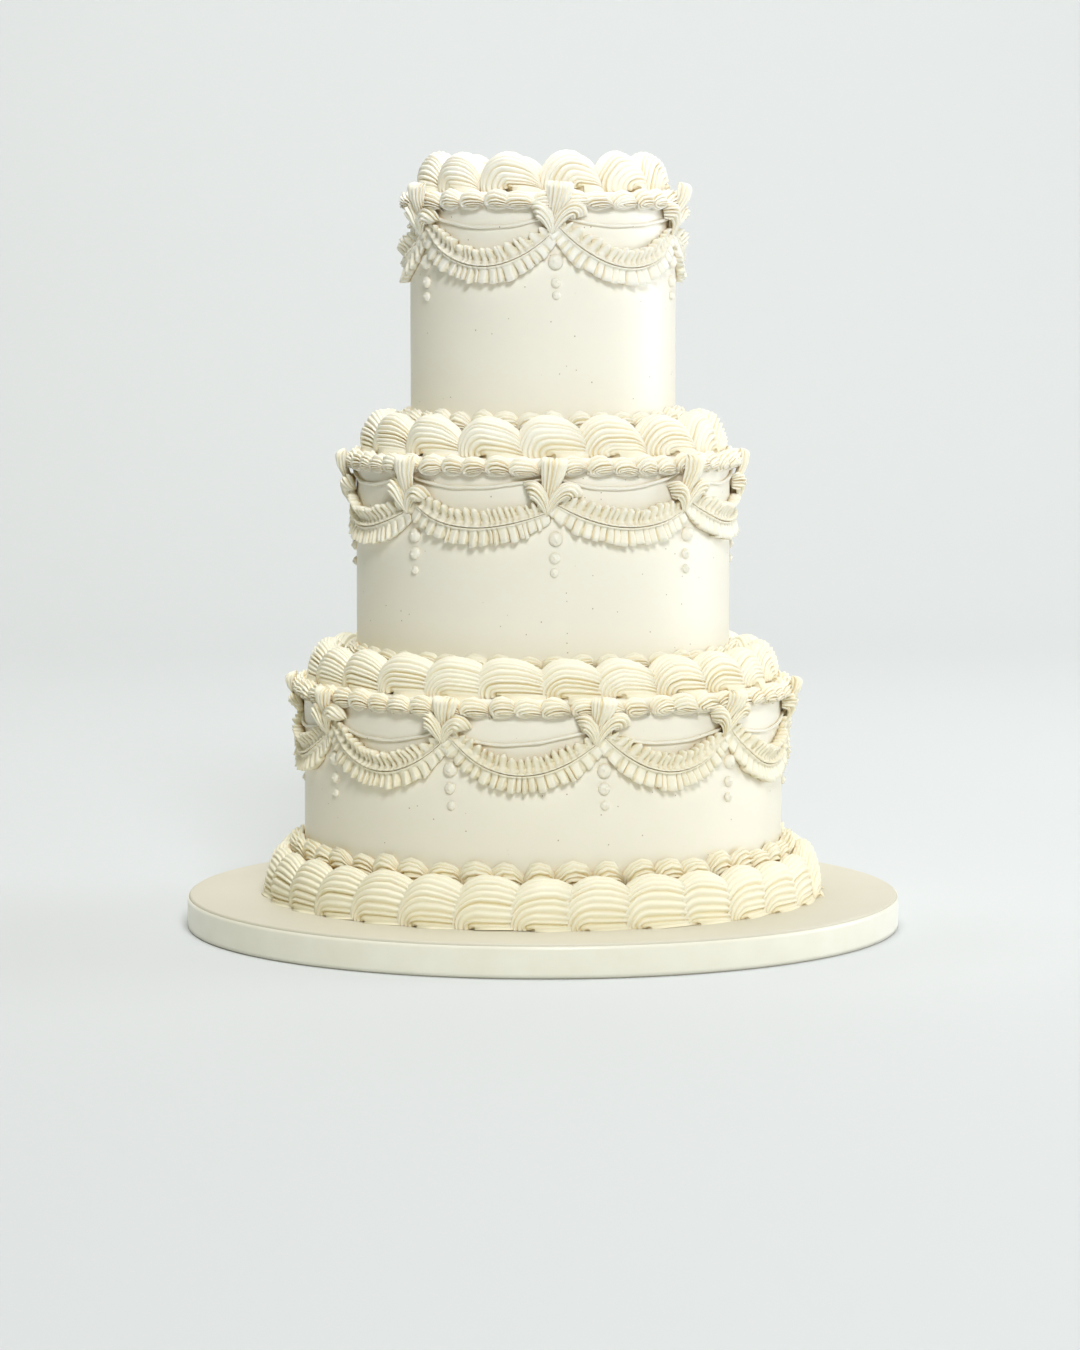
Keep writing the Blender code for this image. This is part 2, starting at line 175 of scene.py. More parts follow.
# Side shells of a fleur, from its tip in millimetres: where each starts, the two points that guide it,
# its comb, its least and greatest size
SIDE_SHELLS = (
    (((-9.6, 12.2), (-5.2, 14.6), (-0.9, 8.0)), 1.4, (0.92, 1.08)),
    (((10.6, 7.0), (9.0, 13.6), (2.0, 10.0)), 0.8, (0.98, 1.28)),
)
# A pulled shell's stand-off along its length, its half width and thickness, and its form: the share of
# its head, how quickly width and thickness taper, and its comb
SIDE_SHELL_BACKS = (0.8 * MM, 2.8 * MM, 3.4 * MM, 1.6 * MM)
SIDE_SHELL_SIZE = (4.8 * MM, 6.4 * MM)
SIDE_SHELL_TAPER = (0.22, 0.55, 0.6)
CROWN_BACKS = (5.0 * MM, 4.4 * MM, 1.2 * MM, 0.2 * MM)
CROWN_SIZE = (6.3 * MM, 5.8 * MM)
CROWN_FORM = (0.14, 0.62, 0.5, 1.3 * MM)
CROWN_RIDGES = 7

# Swags: how far the two ends hang above the fleurs' tips, in millimetres, the pitch of the pleats, how
# far each pleat slides and stands off by chance, and how far it bulges at the crease
SWAG_RISE = (7.0, 1.8)
PLEAT_PITCH = 3.8 * MM
PLEAT_SLIDE = 0.6 * MM
PLEAT_LIFT = 0.25 * MM
CREASE_BUMP = 0.45 * MM
# Where a pleat's points lie across it, as shares of its width
PLEAT_STOPS = (0.0, 0.05, 0.11, 0.27, 0.5, 0.73, 0.89, 0.95)
# Rows of pleats: which way they point from the crease, their length and stand-off at the swag's ends
# and in its middle, the depth and width of the notch between two, their twist, and how round the free
# edge is. The section lists, from the crease to the free edge and back along the wall: the share of
# the pleat's length, its stand-off as a share, and how far the pleats are parted there
LOWER_RUFFLE = {
    "hand": -1.0, "length": (5.0 * MM, 8.6 * MM), "stand": (2.6 * MM, 4.8 * MM),
    "notch": (2.2 * MM, 0.06), "twist": 1.2 * MM, "round_edge": 0.05,
    "section": (
        (0.00, 0.52, 0.0), (0.04, 0.84, 0.0), (0.11, 0.86, 0.0), (0.15, 0.62, 0.0), (0.24, 0.60, 0.4),
        (0.45, 0.74, 0.9), (0.72, 0.88, 1.0), (0.97, 1.00, 1.0), (1.00, 0.86, 1.0), (0.99, 0.42, 0.8),
        (0.94, 0.00, 0.4),
    ),
}
UPPER_RUFFLE = {
    "hand": 1.0, "length": (5.0 * MM, 8.6 * MM), "stand": (3.0 * MM, 5.6 * MM),
    "notch": (1.5 * MM, 0.25), "twist": 0.5 * MM, "round_edge": 0.45,
    "section": (
        (0.00, 0.52, 0.0), (0.04, 0.84, 0.0), (0.11, 0.80, 0.0), (0.16, 0.48, 0.1), (0.30, 0.40, 0.5),
        (0.52, 0.56, 0.9), (0.78, 0.90, 1.0), (0.96, 1.10, 1.0), (1.03, 0.92, 1.0), (1.02, 0.42, 0.8),
        (0.94, 0.00, 0.4),
    ),
}

# Strings: how far the line hangs off the wall, its radius and how far it swells
STRING_OFF_WALL = 0.8 * MM
STRING_RADIUS = 0.88 * MM
STRING_SWELL = 0.07 * MM
# Dots: radii in millimetres, their outline as shares of the radius, and their turn from the fleur
DOT_RADII = (3.3, 2.6, 2.1)
DOT_OUTLINE = (
    (1.0, -0.1), (1.05, 0.18), (0.99, 0.42), (0.85, 0.60), (0.64, 0.72), (0.44, 0.78), (0.27, 0.85),
    (0.16, 0.95), (0.07, 1.04),
)
DOT_BULGE = 1.05
DOT_TURN = 1.5

# Buttercream lets a little light through
BUTTER_GLOW = {
    "Subsurface_Weight": 0.12,
    "Subsurface_Scale": 3.0 * MM,
    "Subsurface_Radius": (1.0, 0.72, 0.42),
}


class Wire:
    """A number on its way between nodes. Python's arithmetic on it adds Math nodes."""

    def __init__(self, graph, socket):
        self.graph = graph
        self.socket = socket

    def __add__(self, other):
        return self.graph.maths("ADD", self, other)

    def __radd__(self, other):
        return self.graph.maths("ADD", other, self)

    def __sub__(self, other):
        return self.graph.maths("SUBTRACT", self, other)

    def __rsub__(self, other):
        return self.graph.maths("SUBTRACT", other, self)

    def __mul__(self, other):
        return self.graph.maths("MULTIPLY", self, other)

    def __rmul__(self, other):
        return self.graph.maths("MULTIPLY", other, self)

    def __truediv__(self, other):
        return self.graph.maths("DIVIDE", self, other)


class Graph:
    """Adds nodes to one tree and joins them up."""

    def __init__(self, tree):
        self.tree = tree

    def node(self, kind, settings=None, sockets=None):
        made = self.tree.nodes.new(kind)
        for name, setting in (settings or {}).items():
            setattr(made, name, setting)
        for name, value in (sockets or {}).items():
            self.feed(made.inputs[name], value)
        return made

    def feed(self, socket, value):
        if isinstance(value, Wire):
            value = value.socket
        if isinstance(value, bpy.types.NodeSocket):
            self.tree.links.new(value, socket)
        else:
            socket.default_value = value

    def maths(self, operation, *values):
        made = self.node("ShaderNodeMath", {"operation": operation})
        for socket, value in zip(made.inputs, values):
            self.feed(socket, value)
        return Wire(self, made.outputs[0])

    def vectors(self, operation, *values):
        made = self.node("ShaderNodeVectorMath", {"operation": operation})
        for socket, value in zip(made.inputs, values):
            self.feed(socket, value)
        return made.outputs[0]

    def scaled(self, vector, amount):
        made = self.node(
            "ShaderNodeVectorMath", {"operation": "SCALE"}, {"Vector": vector, "Scale": amount})
        return made.outputs[0]

    def blend(self, share, first, second):
        made = self.node("ShaderNodeMix", {"data_type": "RGBA"})
        self.feed(made.inputs[0], share)
        self.feed(made.inputs[6], first)
        self.feed(made.inputs[7], second)
        return made.outputs[2]

    def ramp(self, value, low, high):
        made = self.node("ShaderNodeMapRange", None, {"Value": value, "From Min": low, "From Max": high})
        return Wire(self, made.outputs[0])

    def noise(self, place, scale, detail=2.0):
        made = self.node("ShaderNodeTexNoise", None, {"Vector": place, "Scale": scale, "Detail": detail})
        return Wire(self, made.outputs["Fac"])

    def relief(self, shader, height, strength, distance):
        """Fine relief on a shader's normal."""
        made = self.node(
            "ShaderNodeBump", None, {"Height": height, "Strength": strength, "Distance": distance})
        self.feed(shader.inputs["Normal"], made.outputs[0])


def shaded(name, roughness, **constants):
    """A material with one Principled shader: returns it with its graph and the shader."""
    made = bpy.data.materials.new(name)
    made.use_nodes = True
    graph = Graph(made.node_tree)
    shader = made.node_tree.nodes["Principled BSDF"]
    shader.inputs["Roughness"].default_value = roughness
    for socket, value in constants.items():
        shader.inputs[socket.replace("_", " ")].default_value = value
    return made, graph, shader


def colour(red, green, blue):
    """An sRGB colour from 0 to 255 as linear light."""
    return tuple(((share / 255.0 + 0.055) / 1.055) ** 2.4 for share in (red, green, blue)) + (1.0,)


def risen(graph, place):
    """How high a place lies on the cake, from 0 at the underside to 1 at the top."""
    height = graph.node("ShaderNodeSeparateXYZ", None, {"Vector": place}).outputs["Z"]
    return Wire(graph, height) / CAD_BOX[1][2]


def cream_tone_and_nook_shade(graph, place, cloud, low, high):
    """Two pairs of tones, deeper low on the cake than at its top, with painted golden shade in its nooks."""
    deep = graph.blend(cloud, colour(*low[0]), colour(*low[1]))
    pale = graph.blend(cloud, colour(*high[0]), colour(*high[1]))
    tone = graph.blend(risen(graph, place), deep, pale)
    # Painted shade: ambient occlusion turns the tone golden brown in nooks and under the piping, where shade
    # falls
    around = graph.node("ShaderNodeAmbientOcclusion", {"samples": 4}, {"Distance": 6.0 * MM})
    nook_shade = graph.ramp(1.0 - Wire(graph, around.outputs["AO"]), 0.5, 1.0)
    return graph.blend(nook_shade * 0.55, tone, colour(226, 190, 118))


def piped_buttercream():
    """Ivory buttercream as it leaves a piping tip: fine drawn lines, and painted warm shade in its creases
    and nooks.
    """
    made, graph, shader = shaded("piped buttercream", 0.5, **BUTTER_GLOW)
    place = graph.node("ShaderNodeTexCoord").outputs["Object"]
    # Painted shade: the crease shade attribute turns the tone warm tan in ridge valleys, folds and feet,
    # where shade falls
    crease_shade = Wire(graph, graph.node("ShaderNodeAttribute", {"attribute_name": "crease_shade"}).outputs["Fac"])
    tone = cream_tone_and_nook_shade(
        graph, place, graph.noise(place, 55.0, 3.0),
        ((244, 237, 210), (249, 244, 222)), ((251, 248, 236), (254, 252, 244)))
    graph.feed(shader.inputs["Base Color"], graph.blend(crease_shade * 0.65, tone, colour(230, 214, 162)))
    drawn = graph.node("ShaderNodeUVMap").outputs[0]
    lines = graph.noise(graph.vectors("MULTIPLY", drawn, (3.0, 120.0, 1.0)), 1.0, 4.0)
    pores = graph.noise(place, 900.0)
    graph.relief(shader, lines * 0.7 + pores * 0.5, 0.35, 0.3 * MM)
    return made


def smoothed_buttercream():
    """The scraped walls: faint level scraper lines, soft clouds of tone, sparse fine specks and painted
    golden shade in the nooks.
    """
    made, graph, shader = shaded("smoothed buttercream", 0.4, **BUTTER_GLOW)
    place = graph.node("ShaderNodeTexCoord").outputs["Object"]
    tone = cream_tone_and_nook_shade(
        graph, place, graph.noise(place, 14.0, 4.0),
        ((239, 234, 215), (244, 240, 224)), ((246, 242, 227), (250, 247, 237)))
    grains = graph.node("ShaderNodeTexVoronoi", None, {"Vector": place, "Scale": 250.0})
    chance = graph.node("ShaderNodeSeparateColor", None, {"Color": grains.outputs["Color"]})
    chosen = graph.maths("GREATER_THAN", chance.outputs[0], 0.75)
    speck = graph.maths("LESS_THAN", grains.outputs["Distance"], 0.085) * chosen
    graph.feed(shader.inputs["Base Color"], graph.blend(speck * 0.75, tone, colour(150, 128, 92)))
    streaks = graph.noise(graph.vectors("MULTIPLY", place, (12.0, 12.0, 260.0)), 1.0, 3.0)
    grain = graph.noise(place, 420.0, 3.0)
    graph.relief(shader, streaks * 0.6 + grain * 0.4, 0.25, 0.3 * MM)
    return made


def board_icing():
    """Matte icing rolled over the board, a shade greyer than the buttercream."""
    made, graph, shader = shaded("board icing", 0.55)
    place = graph.node("ShaderNodeTexCoord").outputs["Object"]
    tone = graph.blend(graph.noise(place, 18.0, 5.0), colour(203, 198, 179), colour(213, 208, 192))
    graph.feed(shader.inputs["Base Color"], tone)
    graph.relief(shader, graph.noise(place, 350.0, 4.0), 0.2, 0.2 * MM)
    return made


def satin():
    """Double-faced satin ribbon: fine upright threads under a soft gloss."""
    made, graph, shader = shaded("satin ribbon", 0.34, Sheen_Weight=0.25)
    drawn = graph.node("ShaderNodeUVMap").outputs[0]
    cloud = graph.noise(graph.vectors("MULTIPLY", drawn, (60.0, 1.2, 1.0)), 1.0, 3.0)
    graph.feed(shader.inputs["Base Color"], graph.blend(cloud, colour(232, 229, 210), colour(246, 244, 230)))
    threads = graph.noise(graph.vectors("MULTIPLY", drawn, (2600.0, 6.0, 1.0)), 1.0)
    graph.relief(shader, threads, 0.3, 0.1 * MM)
    return made


def studio_paper():
    made, graph, shader = shaded("studio paper", 0.8)
    place = graph.node("ShaderNodeTexCoord").outputs["Object"]
    tone = graph.blend(graph.noise(place, 0.8), colour(207, 210, 212), colour(211, 214, 216))
    graph.feed(shader.inputs["Base Color"], tone)
    return made


def sheet(points, crease_shade, wrap_along=False, wrap_across=True):
    """One closed skin as vertices, faces, corner UVs and painted crease shade, from a grid of points along
    by across.

    A grid that doesn't wrap along is closed by a fan at each end.
    """
    along, across = points.shape[:2]
    vertices = points.reshape(-1, 3)
    # The tint carries the painted crease shade, one weight a point
    tint = crease_shade.reshape(-1)
    rows = along if wrap_along else along - 1
    columns = across if wrap_across else across - 1
    first = np.repeat(np.arange(rows), columns)
    second = np.tile(np.arange(columns), rows)
    after_first = (first + 1) % along
    after_second = (second + 1) % across
    faces = [tuple(face) for face in np.stack([
        first * across + second,
        after_first * across + second,
        after_first * across + after_second,
        first * across + after_second,
    ], 1).tolist()]
    uvs = np.stack([
        first / rows, second / columns,
        (first + 1) / rows, second / columns,
        (first + 1) / rows, (second + 1) / columns,
        first / rows, (second + 1) / columns,
    ], 1).reshape(-1, 2).tolist()
    for row in () if wrap_along else (0, along - 1):
        hub = len(vertices)
        vertices = np.vstack([vertices, points[row].mean(0)])
        tint = np.append(tint, crease_shade[row].mean())
        share = row / (along - 1)
        for column in range(across):
            nearby = (column + 1) % across
            faces.append((row * across + nearby, row * across + column, hub))
            uvs += [(share, (column + 1) / across), (share, column / across), (share, column / across)]
    return vertices, faces, uvs, tint


def joined(name, skins, finish):
    """One smooth mesh object from several skins, each welded into a closed one by itself."""
    whole = bmesh.new()
    for vertices, faces, uvs, tint in skins:
        part = bpy.data.meshes.new(name)
        part.from_pydata(vertices.tolist(), [], faces)
        part.uv_layers.new(name="drawn").data.foreach_set("uv", np.array(uvs, np.float32).reshape(-1))
        # The painted crease shade goes along as a point attribute
        part.attributes.new("crease_shade", "FLOAT", "POINT").data.foreach_set("value", tint.astype(np.float32))
        closed = bmesh.new()
        closed.from_mesh(part)
        bmesh.ops.remove_doubles(closed, verts=closed.verts[:], dist=1e-6)
        bmesh.ops.dissolve_degenerate(closed, dist=1e-7, edges=closed.edges[:])
        bmesh.ops.recalc_face_normals(closed, faces=closed.faces[:])
        closed.to_mesh(part)
        closed.free()
        whole.from_mesh(part)
        bpy.data.meshes.remove(part)
    mesh = bpy.data.meshes.new(name)
    whole.to_mesh(mesh)
    whole.free()
    mesh.shade_smooth()
    mesh.materials.append(finish)
    made = bpy.data.objects.new(name, mesh)
    bpy.context.scene.collection.objects.link(made)
    return made


def settle(piece, slot, *nodes):
    """Hands a finished piece to the frame, in place of the CAD nodes it stands for."""
    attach(piece, "root")
    if nodes:
        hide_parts(*nodes)
    return piece


def smooth_step(value, low, high):
    share = np.clip((value - low) / (high - low), 0.0, 1.0)
    return share * share * (3.0 - 2.0 * share)


def ridge_layout(count, draw, crowding=1.0):
    """Uneven ridges over half a turn: the angles, how deep each lies in a valley, how crisp it is."""
    edges = np.cumsum(draw.uniform(0.72, 1.3, count))
    edges = (np.concatenate([[0.0], edges]) / edges[-1]) ** crowding * math.pi
    share = np.tile(RIDGE_STOPS, count)
    ridge = np.repeat(np.arange(count), len(RIDGE_STOPS))
    turn = np.append(edges[ridge] + share * (edges[ridge + 1] - edges[ridge]), math.pi)
    strength = draw.uniform(0.55, 1.3, count + 1)
    nearest = strength[ridge + (share > 0.5)]
    valley = np.append((1.0 - np.sin(math.pi * share) ** 1.2) * nearest, strength[-1])
    return turn[None, :], valley[None, :]


def pushed_in(points, depth):
    """Moves each point of a grid inwards along its own normal by a depth."""
    along = np.gradient(points, axis=0)
    across = np.gradient(points, axis=1)
    normal = np.cross(along, across)
    normal /= np.maximum(np.linalg.norm(normal, axis=2, keepdims=True), 1e-12)
    return points - normal * depth[..., None]


def nested_arcs(over, turn, reach, width, height, pole, under):
    """The plain form of a shell as arcs nested round a pole on each side.

    Each arc starts under the pole, climbs over the head at -X and falls to the tail at +X. With
    under above 0 it also reaches that share of the height below the pole, as a hook.
    """
    head, tail = reach
    pole_along, pole_high, widening = pole
    climb = np.clip(over, -math.pi / 2.0, math.pi / 2.0)
    fall = np.clip(over - math.pi / 2.0, 0.0, math.pi / 2.0)
    back = np.clip(-math.pi / 2.0 - over, 0.0, 1.0)
    spread = np.sin(turn)
    middle = pole_along * (1.0 - spread)
    left = pole_along - (head + pole_along) * spread ** widening
    low = pole_high * height
    up = np.where((climb < 0.0) & (under > 0.0), under * height * (1.0 - 0.3 * back), height - low)
    x = middle + (left - middle) * np.cos(climb) + (tail - middle) * np.sin(fall) + 0.45 * tail * back
    z = (low + up * spread * np.sin(climb)) * np.cos(fall)
    full = 0.90 + 0.10 * smooth_step(climb, -0.4, 1.3) - 0.5 * np.sin(fall) ** 1.5
    return np.stack([x, -0.5 * width * np.cos(turn) * full, z], 2)


def shell_skin(reach, width, height, bend, ridges, smoothing, detail, draw, pole, under=0.0, foot=0.0):
    """One piped shell: +X towards its tail, -Y outwards, +Z up, bent round a ring of radius bend."""
    rise, fall = detail
    ridges, depth, crowding = ridges
    climb = np.linspace(-math.pi / 2.0 if under else -0.5, math.pi / 2.0, rise)
    over = np.append(climb, np.linspace(math.pi / 2.0, math.pi, fall + 1)[1:])
    if under:
        over = np.append([-math.pi / 2.0 - 1.0, -math.pi / 2.0 - 0.5], over)
    over = over[:, None]
    turn, valley = ridge_layout(ridges, draw, crowding)
    meander = 0.05 * np.sin(2.4 * over + draw.uniform(0.0, 6.0))
    meander = meander + 0.02 * np.sin(6.0 * over + draw.uniform(0.0, 6.0))
    turn = turn + meander * np.sin(turn) * np.sin(2.0 * turn + draw.uniform(0.0, 6.0))
    spread = np.sin(turn)
    points = nested_arcs(over, turn, reach, width, height, pole, under)
    soft = 1.25 - smoothing * smooth_step(spread, 0.6, 1.0) * smooth_step(over, 0.3, 1.5)
    fade = smooth_step(spread, 0.0, 0.1) * soft * (1.0 - 0.4 * smooth_step(over, 2.2, 3.1))
    points = pushed_in(points, depth * valley * fade)
    # Painted shade: darker in the ridges' valleys and in the hollow at the pole where the arcs meet
    crease_shade = 0.8 * valley ** 2 * fade + 0.6 * np.exp(-(turn / 0.14) ** 2) * smooth_step(over, 2.6, 1.2)
    if not under:
        points[..., 2] = np.maximum(points[..., 2], 0.0)
        skirt = []
        for share in (0.6, 0.25, 0.0):
            row = points[:, :1].copy()
            teeth = np.abs(np.sin(row[..., 0] * math.pi / FOOT_COMB_PITCH))
            row[..., 1] -= FOOT_COMB * teeth * (1.0 - share)
            row[..., 2] = (row[..., 2] + foot) * share - foot
            skirt.append(row)
        heel = points[:, -1:].copy()
        heel[..., 2] = -foot
        points = np.concatenate([points, heel] + skirt[::-1], 1)
        # Painted shade: the heel and foot rows, where the shell meets the wall or board, get half the crease
        # shade
        crease_shade = np.pad(crease_shade, ((0, 0), (0, 4)), constant_values=0.5)
    around = points[..., 0] / bend
    ring = bend - points[..., 1]
    points = np.stack([ring * np.sin(around), bend - ring * np.cos(around), points[..., 2]], 2)
    return sheet(points, crease_shade)


def ring_tree():
    """Places shells round the cake, picked from a few kinds, each turned outwards and a little uneven."""
    tree = bpy.data.node_groups.new("piped ring", "GeometryNodeTree")
    graph = Graph(tree)
    face = tree.interface
    face.new_socket("Geometry", in_out="INPUT", socket_type="NodeSocketGeometry")
    face.new_socket("Count", in_out="INPUT", socket_type="NodeSocketInt")
    face.new_socket("Kinds", in_out="INPUT", socket_type="NodeSocketInt")
    for name in (
            "First Angle", "Radius", "Level", "Tilt", "Unevenness", "Wander", "Ripple", "Ripple Scale"):
        face.new_socket(name, in_out="INPUT", socket_type="NodeSocketFloat")
    face.new_socket("Seed", in_out="INPUT", socket_type="NodeSocketInt")
    face.new_socket("Icing", in_out="INPUT", socket_type="NodeSocketMaterial")
    face.new_socket("Geometry", in_out="OUTPUT", socket_type="NodeSocketGeometry")
    given = graph.node("NodeGroupInput").outputs
    index = Wire(graph, graph.node("GeometryNodeInputIndex").outputs[0])

    def random(low, high, shift):
        seed = graph.maths("ADD", given["Seed"], shift)
        made = graph.node("FunctionNodeRandomValue", {"data_type": "FLOAT"})
        graph.feed(made.inputs[2], low)
        graph.feed(made.inputs[3], high)
        graph.feed(made.inputs["ID"], index)
        graph.feed(made.inputs["Seed"], seed)
        return Wire(graph, made.outputs[1])

    wander = random(-1.0, 1.0, 1) * given["Wander"]
    angle = Wire(graph, given["First Angle"]) + (index + wander) * (2.0 * math.pi) / given["Count"]
    place = graph.node("ShaderNodeCombineXYZ", None, {
        "X": graph.maths("SINE", angle) * given["Radius"],
        "Y": graph.maths("COSINE", angle) * given["Radius"] * -1.0,
        "Z": given["Level"],
    })
    points = graph.node("GeometryNodePoints", None, {"Count": given["Count"], "Position": place.outputs[0]})
    facing = graph.node("ShaderNodeCombineXYZ", None, {
        "X": random(-1.0, 1.0, 2) * given["Unevenness"] * 0.6 + given["Tilt"],
        "Y": random(-1.0, 1.0, 3) * given["Unevenness"] * 0.8,
        "Z": angle + random(-1.0, 1.0, 4) * given["Unevenness"],
    })
    turned = graph.node("FunctionNodeEulerToRotation", None, {"Euler": facing.outputs[0]})
    size = graph.node("ShaderNodeCombineXYZ", None, {
        "X": 1.0 + random(-1.0, 1.0, 5) * given["Unevenness"],
        "Y": 1.0 + random(-1.0, 0.2, 6) * given["Unevenness"],
        "Z": 1.0 + random(-1.0, 0.3, 7) * given["Unevenness"],
    })
    island = graph.node("GeometryNodeInputMeshIsland").outputs["Island Index"]
    kinds = graph.node(
        "GeometryNodeSplitToInstances", None, {"Geometry": given["Geometry"], "Group ID": island})
    copies = graph.node("GeometryNodeInstanceOnPoints", None, {
        "Points": points.outputs[0],
        "Instance": kinds.outputs["Instances"],
        "Pick Instance": True,
        "Instance Index": graph.maths("FLOOR", random(0.0, 0.999, 8) * given["Kinds"]),
        "Rotation": turned.outputs[0],
        "Scale": size.outputs[0],
    })
    real = graph.node("GeometryNodeRealizeInstances", None, {"Geometry": copies.outputs[0]})
    where = graph.node("GeometryNodeInputPosition").outputs[0]
    noise = graph.node("ShaderNodeTexNoise", None, {
        "Vector": where, "Scale": given["Ripple Scale"], "Detail": 1.0})
    middle = graph.vectors("SUBTRACT", noise.outputs["Color"], (0.5, 0.5, 0.5))
    moved = graph.node("GeometryNodeSetPosition", None, {
        "Geometry": real.outputs[0],
        "Offset": graph.scaled(middle, given["Ripple"]),
    })
    iced = graph.node("GeometryNodeSetMaterial", None, {
        "Geometry": moved.outputs[0], "Material": given["Icing"]})
    end = graph.node("NodeGroupOutput")
    tree.links.new(iced.outputs[0], end.inputs["Geometry"])
    return tree


def grown(name, seedling, tree, finish, **values):
    """Runs a tree on an object and keeps its result as a plain mesh object."""
    modifier = seedling.modifiers.new("piping", "NODES")
    modifier.node_group = tree
    sockets = {item.name: item.identifier for item in tree.interface.items_tree if item.in_out == "INPUT"}
    for words, value in values.items():
        modifier[sockets[words.replace("_", " ").title()]] = value
    modifier[sockets["Icing"]] = finish
    evaluated = seedling.evaluated_get(bpy.context.evaluated_depsgraph_get())
    mesh = bpy.data.meshes.new_from_object(evaluated)
    seedling.modifiers.clear()
    bpy.data.objects.remove(seedling)
    mesh.name = name
    made = bpy.data.objects.new(name, mesh)
    bpy.context.scene.collection.objects.link(made)
    return made


def pipe_shells(name, border, level, tree, finish, seed):
    """One border of large shells, fitted to the box of its CAD ring."""
    draw = np.random.default_rng(seed)
    low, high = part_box(name)
    radius = high.x - border["width"] / 2.0
    pitch = 2.0 * math.pi * radius / border["count"]
    along, high_share, widening = border["pole"]
    skins = [
        shell_skin(
            (border["head"] * pitch, border["tail"] * pitch), border["width"] * SHELL_OVERLAP,
            high.z - low.z, radius, SHELL_RIDGES, SHELL_SMOOTHING, SHELL_DETAIL, draw,
            (along * pitch, high_share, widening), foot=border["foot"])
        for _ in range(SHELL_KINDS)
    ]
    piece = grown(
        f"{name}_piping", joined(f"{name}_kinds", skins, finish), tree, finish, count=border["count"],
        kinds=SHELL_KINDS, first_angle=math.radians(border["crest_angle"]), radius=radius, level=level,
        tilt=0.0, seed=seed, **SHELL_ROW)
    return settle(piece, "buttercream", name)


def pipe_beads(name, count, wall, form, finish, tree, seed):
    """One row of small bead shells on a wall, turned so that their hooked poles show low in front."""
    draw = np.random.default_rng(seed)
    low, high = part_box(name)
    pitch = 2.0 * math.pi * wall / count
    tall = high.z - low.z
    stretch, lift, ripple = form
    along, high_share, widening = BEAD_POLE
    skins = [
        shell_skin(
            (BEAD_REACH[0] * pitch, BEAD_REACH[1] * pitch), BEAD_WIDTH, tall * stretch, wall,
            BEAD_RIDGES, BEAD_SMOOTHING, BEAD_DETAIL, draw, (along * pitch, high_share, widening),
            under=BEAD_HOOK)
        for _ in range(SHELL_KINDS)
    ]
    piece = grown(
        f"{name}_piping", joined(f"{name}_kinds", skins, finish), tree, finish, count=count,
        kinds=SHELL_KINDS, first_angle=BEAD_SHIFT * seed, radius=wall - BEAD_SUNK,
        level=low.z + lift * tall, tilt=math.radians(BEAD_TILT), ripple=ripple, seed=seed, **BEAD_ROW)
    return settle(piece, "buttercream", name)


def on_wall(angle, radius, sideways, offset, out, top):
    """Points on a tier's wall: sideways and offset along the wall, out from it."""
    turn = math.radians(angle) + sideways / radius
    reach = radius + out
    return np.stack([reach * np.sin(turn), -reach * np.cos(turn), top + offset], -1)


def bezier(points, share):
    a, b, c, d = (np.array(point) for point in points)
    rest = 1.0 - share
    return (rest ** 3)[:, None] * a + (3 * rest ** 2 * share)[:, None] * b \
        + (3 * rest * share ** 2)[:, None] * c + (share ** 3)[:, None] * d


def pulled_shell(place, route, backs, size, form, draw, ridges=6, steps=20):
    """One pulled shell on the wall, from its blunt curled head at the start of the route to its tip.

    The place is an angle, a wall radius and a height. The size is a half width and a thickness. The
    form is the share of the length that its head takes, how quickly width and thickness taper, and how
    far the ridges' ends stand out from its head as a comb.
    """
    angle, radius, top = place
    half_width, thickness = size
    head, narrowing, thinning, comb_depth = form
    share = np.linspace(0.0, 1.0, steps) ** 1.3
    line = bezier(route, share)
    along = np.gradient(line, axis=0)
    along /= np.maximum(np.linalg.norm(along, axis=1, keepdims=True), 1e-9)
    side = np.stack([along[:, 1], -along[:, 0]], 1)
    curl = np.sqrt(1.0 - (1.0 - np.clip(share / head, 0.0, 1.0)) ** 2)
    rest = np.clip((1.0 - share) / (1.0 - head), 0.0, 1.0)
    wide = np.where(share < head, 0.8 + 0.2 * curl, rest ** narrowing)[:, None]
    thick = np.where(share < head, 0.12 + 0.88 * curl, rest ** thinning)[:, None]
    turn, valley = ridge_layout(ridges, draw)
    cut = 1.0 - 0.32 * valley
    across = half_width * wide * cut * np.cos(turn)
    comb = comb_depth * valley * (1.0 - smooth_step(share, 0.0, 2.0 * head))[:, None]
    sideways = line[:, :1] + side[:, :1] * across + along[:, :1] * comb
    offset = line[:, 1:] + side[:, 1:] * across + along[:, 1:] * comb
    back = np.interp(share, np.linspace(0.0, 1.0, len(backs)), backs)[:, None]
    out = back + thickness * thick * cut * np.sin(turn) ** 0.75
    points = on_wall(angle, radius, sideways, offset, out, top)
    # Painted shade in the ridges' valleys
    return sheet(points, np.tile(0.9 * valley ** 1.5, (steps, 1)))


